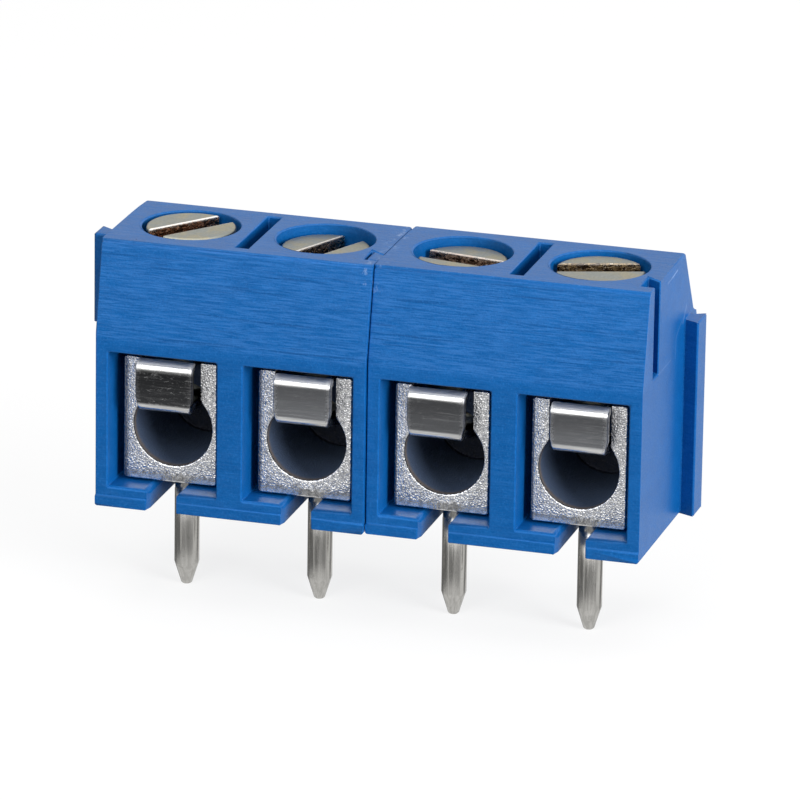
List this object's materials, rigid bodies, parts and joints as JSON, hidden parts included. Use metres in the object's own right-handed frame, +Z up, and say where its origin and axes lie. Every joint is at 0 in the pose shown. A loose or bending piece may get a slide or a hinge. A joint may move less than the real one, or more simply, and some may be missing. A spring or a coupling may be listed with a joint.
{
  "type": "pcb screw terminal block",
  "caption": "Board-mounted screw terminal block: dovetailed blue housings with wire windows in front, slotted clamp screws in wells on top and round solder pins below.",
  "frame": {"origin": "on the board surface under the housings, on the line of the solder pins, half way along the row", "axes": "+X along the row of poles with the joint of the two modules at X = 0, -Y out of the wire windows, +Z up away from the board"},
  "size_m": [0.021, 0.0076, 0.0134],
  "materials": {
    "housing": "blue moulded thermoplastic, fine brushed marks, satin",
    "clamp_plate": "tin plated, coarse bright grain",
    "guard": "rolled strip, smooth and reflective",
    "screw": "yellow passivated zinc over turned steel",
    "pin": "tinned wire, lengthwise draw marks"
  },
  "bodies": {
    "base": {"housing_left": "housing", "clamp_body_1": "clamp_plate", "solder_pin_1": "pin", "clamp_body_2": "clamp_plate", "solder_pin_2": "pin"},
    "right_module": {"housing_right": "housing", "clamp_body_3": "clamp_plate", "solder_pin_3": "pin", "clamp_body_4": "clamp_plate", "solder_pin_4": "pin"},
    "guard_1": {"wire_guard_1": "guard"},
    "screw_1": {"clamp_screw_1": "screw"},
    "guard_2": {"wire_guard_2": "guard"},
    "screw_2": {"clamp_screw_2": "screw"},
    "guard_3": {"wire_guard_3": "guard"},
    "screw_3": {"clamp_screw_3": "screw"},
    "guard_4": {"wire_guard_4": "guard"},
    "screw_4": {"clamp_screw_4": "screw"}
  },
  "joints": [
    {"name": "module_dovetail", "type": "slide", "parent": "base", "child": "right_module", "axis": [0, 0, 1], "range_m": [0, 0.0075]},
    {"name": "guard_travel_1", "type": "slide", "parent": "base", "child": "guard_1", "axis": [0, 0, -1], "range_m": [0, 0.0013], "deforming": ["wire_guard_1"]},
    {"name": "screw_turn_1", "type": "hinge", "parent": "guard_1", "child": "screw_1", "pos_m": [-0.0075, 0.00026, 0.008], "axis": [0, 0, -1], "range_deg": [0, 1041]},
    {"name": "guard_travel_2", "type": "slide", "parent": "base", "child": "guard_2", "axis": [0, 0, -1], "range_m": [0, 0.0013], "deforming": ["wire_guard_2"]},
    {"name": "screw_turn_2", "type": "hinge", "parent": "guard_2", "child": "screw_2", "pos_m": [-0.0025, 0.00026, 0.008], "axis": [0, 0, -1], "range_deg": [0, 1041]},
    {"name": "guard_travel_3", "type": "slide", "parent": "right_module", "child": "guard_3", "axis": [0, 0, -1], "range_m": [0, 0.0013], "deforming": ["wire_guard_3"]},
    {"name": "screw_turn_3", "type": "hinge", "parent": "guard_3", "child": "screw_3", "pos_m": [0.0025, 0.00041, 0.008], "axis": [0, 0, -1], "range_deg": [0, 1041]},
    {"name": "guard_travel_4", "type": "slide", "parent": "right_module", "child": "guard_4", "axis": [0, 0, -1], "range_m": [0, 0.0013], "deforming": ["wire_guard_4"]},
    {"name": "screw_turn_4", "type": "hinge", "parent": "guard_4", "child": "screw_4", "pos_m": [0.0075, 0.00041, 0.008], "axis": [0, 0, -1], "range_deg": [0, 1041]}
  ],
  "couplings": [
    {"joint": "screw_turn_1", "follows": "guard_travel_1", "rad_per_m": 13963},
    {"joint": "screw_turn_2", "follows": "guard_travel_2", "rad_per_m": 13963},
    {"joint": "screw_turn_3", "follows": "guard_travel_3", "rad_per_m": 13963},
    {"joint": "screw_turn_4", "follows": "guard_travel_4", "rad_per_m": 13963}
  ]
}
